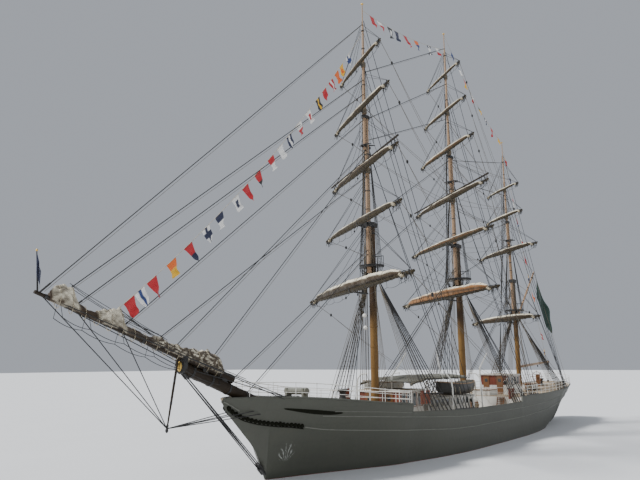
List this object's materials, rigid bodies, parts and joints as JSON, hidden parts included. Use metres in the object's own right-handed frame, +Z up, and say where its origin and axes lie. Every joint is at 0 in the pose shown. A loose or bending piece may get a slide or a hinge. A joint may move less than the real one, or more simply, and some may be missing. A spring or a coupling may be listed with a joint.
{
  "type": "three-masted full-rigged sailing ship, scale model at 1:2",
  "caption": "Tall ship afloat with furled square sails on braced yards, clipper bow, steel hull, rudder, propeller and working yards, boom and gaff; scale model at 1:2.",
  "frame": {"origin": "on the centreline at the waterline, midway along the overall length", "axes": "+X forward to the bow, +Y to port, +Z up"},
  "size_m": [37.9639, 9.6193, 24.7],
  "materials": {
    "hull_paint": "satin grey paint",
    "lower_mast": "satin ochre paint",
    "bowsprit_paint": "satin brown paint",
    "spar_wood": "varnished",
    "yard_paint": "satin cream paint",
    "sailcloth": "matt cloth",
    "canvas": "matt cloth",
    "tarred_wire": "tarred",
    "white_paint": "satin",
    "boat_paint": "gloss",
    "dark_iron": "satin",
    "varnished_wood": "varnished",
    "bronze": "satin",
    "signal_bunting": "matt cloth",
    "gilding": "gilded",
    "teak_deck": "scrubbed",
    "cordage": "matt rope",
    "window_glass": "clear",
    "panel_red": "satin",
    "bottom_paint": "matt"
  },
  "bodies": {
    "ship": {"hull": "hull_paint", "foremast": "lower_mast", "mainmast": "lower_mast", "mizzenmast": "lower_mast", "bowsprit": "bowsprit_paint", "dolphin_striker": "spar_wood", "furled_jibs": "sailcloth", "fore_stay": "tarred_wire", "main_stay": "tarred_wire", "mizzen_stay": "tarred_wire", "fore_deckhouse": "white_paint", "main_deckhouse": "white_paint", "chart_house": "white_paint", "awning": "canvas", "boat_skids": "white_paint", "port_boat": "boat_paint", "starboard_boat": "boat_paint", "windlass": "dark_iron", "steering_stand": "varnished_wood", "port_fore_shrouds": "tarred_wire", "starboard_fore_shrouds": "tarred_wire", "port_main_shrouds": "tarred_wire", "starboard_main_shrouds": "tarred_wire", "port_mizzen_shrouds": "tarred_wire", "starboard_mizzen_shrouds": "tarred_wire"},
    "fore_yard_body": {"fore_yard": "yard_paint", "fore_sail": "sailcloth"},
    "fore_lower_topsail_yard_body": {"fore_lower_topsail_yard": "yard_paint", "fore_lower_topsail_sail": "sailcloth"},
    "fore_upper_topsail_yard_body": {"fore_upper_topsail_yard": "yard_paint", "fore_upper_topsail_sail": "sailcloth"},
    "fore_topgallant_yard_body": {"fore_topgallant_yard": "yard_paint", "fore_topgallant_sail": "sailcloth"},
    "fore_royal_yard_body": {"fore_royal_yard": "yard_paint", "fore_royal_sail": "sailcloth"},
    "main_yard_body": {"main_yard": "yard_paint", "main_sail": "sailcloth"},
    "main_lower_topsail_yard_body": {"main_lower_topsail_yard": "yard_paint", "main_lower_topsail_sail": "sailcloth"},
    "main_upper_topsail_yard_body": {"main_upper_topsail_yard": "yard_paint", "main_upper_topsail_sail": "sailcloth"},
    "main_topgallant_yard_body": {"main_topgallant_yard": "yard_paint", "main_topgallant_sail": "sailcloth"},
    "main_royal_yard_body": {"main_royal_yard": "yard_paint", "main_royal_sail": "sailcloth"},
    "main_skysail_yard_body": {"main_skysail_yard": "yard_paint", "main_skysail_sail": "sailcloth"},
    "crossjack_yard_body": {"crossjack_yard": "yard_paint", "crossjack_sail": "sailcloth"},
    "mizzen_topsail_yard_body": {"mizzen_topsail_yard": "yard_paint", "mizzen_topsail_sail": "sailcloth"},
    "mizzen_topgallant_yard_body": {"mizzen_topgallant_yard": "yard_paint", "mizzen_topgallant_sail": "sailcloth"},
    "mizzen_royal_yard_body": {"mizzen_royal_yard": "yard_paint", "mizzen_royal_sail": "sailcloth"},
    "boom_body": {"spanker_boom": "spar_wood"},
    "gaff_body": {"spanker_gaff": "spar_wood"},
    "rudder_body": {"rudder": "hull_paint"},
    "propeller_body": {"propeller": "bronze"},
    "wheel_body": {"steering_wheel": "varnished_wood"}
  },
  "joints": [
    {"name": "fore_yard_brace", "type": "hinge", "parent": "ship", "child": "fore_yard_body", "pos_m": [4.45, 0, 6.725], "axis": [0, 0, 1], "range_deg": [-10.5, 79.5]},
    {"name": "fore_lower_topsail_yard_brace", "type": "hinge", "parent": "ship", "child": "fore_lower_topsail_yard_body", "pos_m": [4.45, 0, 9.6], "axis": [0, 0, 1], "range_deg": [-10.5, 79.5]},
    {"name": "fore_upper_topsail_yard_brace", "type": "hinge", "parent": "ship", "child": "fore_upper_topsail_yard_body", "pos_m": [4.2, 0, 12.05], "axis": [0, 0, 1], "range_deg": [-10.5, 79.5]},
    {"name": "fore_topgallant_yard_brace", "type": "hinge", "parent": "ship", "child": "fore_topgallant_yard_body", "pos_m": [4.35, 0, 14.8], "axis": [0, 0, 1], "range_deg": [-10.5, 79.5]},
    {"name": "fore_royal_yard_brace", "type": "hinge", "parent": "ship", "child": "fore_royal_yard_body", "pos_m": [4.35, 0, 17.05], "axis": [0, 0, 1], "range_deg": [-10.5, 79.5]},
    {"name": "main_yard_brace", "type": "hinge", "parent": "ship", "child": "main_yard_body", "pos_m": [-4.15, 0, 7.075], "axis": [0, 0, 1], "range_deg": [-8, 82]},
    {"name": "main_lower_topsail_yard_brace", "type": "hinge", "parent": "ship", "child": "main_lower_topsail_yard_body", "pos_m": [-4.15, 0, 10.025], "axis": [0, 0, 1], "range_deg": [-8, 82]},
    {"name": "main_upper_topsail_yard_brace", "type": "hinge", "parent": "ship", "child": "main_upper_topsail_yard_body", "pos_m": [-4.4, 0, 12.475], "axis": [0, 0, 1], "range_deg": [-8, 82]},
    {"name": "main_topgallant_yard_brace", "type": "hinge", "parent": "ship", "child": "main_topgallant_yard_body", "pos_m": [-4.25, 0, 15.2], "axis": [0, 0, 1], "range_deg": [-8, 82]},
    {"name": "main_royal_yard_brace", "type": "hinge", "parent": "ship", "child": "main_royal_yard_body", "pos_m": [-4.25, 0, 17.5], "axis": [0, 0, 1], "range_deg": [-8, 82]},
    {"name": "main_skysail_yard_brace", "type": "hinge", "parent": "ship", "child": "main_skysail_yard_body", "pos_m": [-4.25, 0, 19.7], "axis": [0, 0, 1], "range_deg": [-8, 82]},
    {"name": "crossjack_yard_brace", "type": "hinge", "parent": "ship", "child": "crossjack_yard_body", "pos_m": [-12.3, 0, 6.3], "axis": [0, 0, 1], "range_deg": [-6.5, 83.5]},
    {"name": "mizzen_topsail_yard_brace", "type": "hinge", "parent": "ship", "child": "mizzen_topsail_yard_body", "pos_m": [-12.55, 0, 10.7], "axis": [0, 0, 1], "range_deg": [-6.5, 83.5]},
    {"name": "mizzen_topgallant_yard_brace", "type": "hinge", "parent": "ship", "child": "mizzen_topgallant_yard_body", "pos_m": [-12.4, 0, 12.975], "axis": [0, 0, 1], "range_deg": [-6.5, 83.5]},
    {"name": "mizzen_royal_yard_brace", "type": "hinge", "parent": "ship", "child": "mizzen_royal_yard_body", "pos_m": [-12.4, 0, 14.8], "axis": [0, 0, 1], "range_deg": [-6.5, 83.5]},
    {"name": "spanker_boom_swing", "type": "hinge", "parent": "ship", "child": "boom_body", "pos_m": [-13.1, 0, 3.45], "axis": [0, 0, 1], "range_deg": [-45, 45]},
    {"name": "spanker_gaff_swing", "type": "hinge", "parent": "ship", "child": "gaff_body", "pos_m": [-13.1, 0, 6.45], "axis": [0, 0, 1], "range_deg": [-38, 38]},
    {"name": "rudder_turn", "type": "hinge", "parent": "ship", "child": "rudder_body", "pos_m": [-15.275, 0, -1.25], "axis": [0, 0, 1], "range_deg": [-35, 35]},
    {"name": "propeller_spin", "type": "hinge", "parent": "ship", "child": "propeller_body", "pos_m": [-14.925, 0, -1.275], "axis": [1, 0, 0], "continuous": true},
    {"name": "steering_wheel_turn", "type": "hinge", "parent": "ship", "child": "wheel_body", "pos_m": [-16.1, 0, 2.775], "axis": [1, 0, 0], "continuous": true}
  ]
}
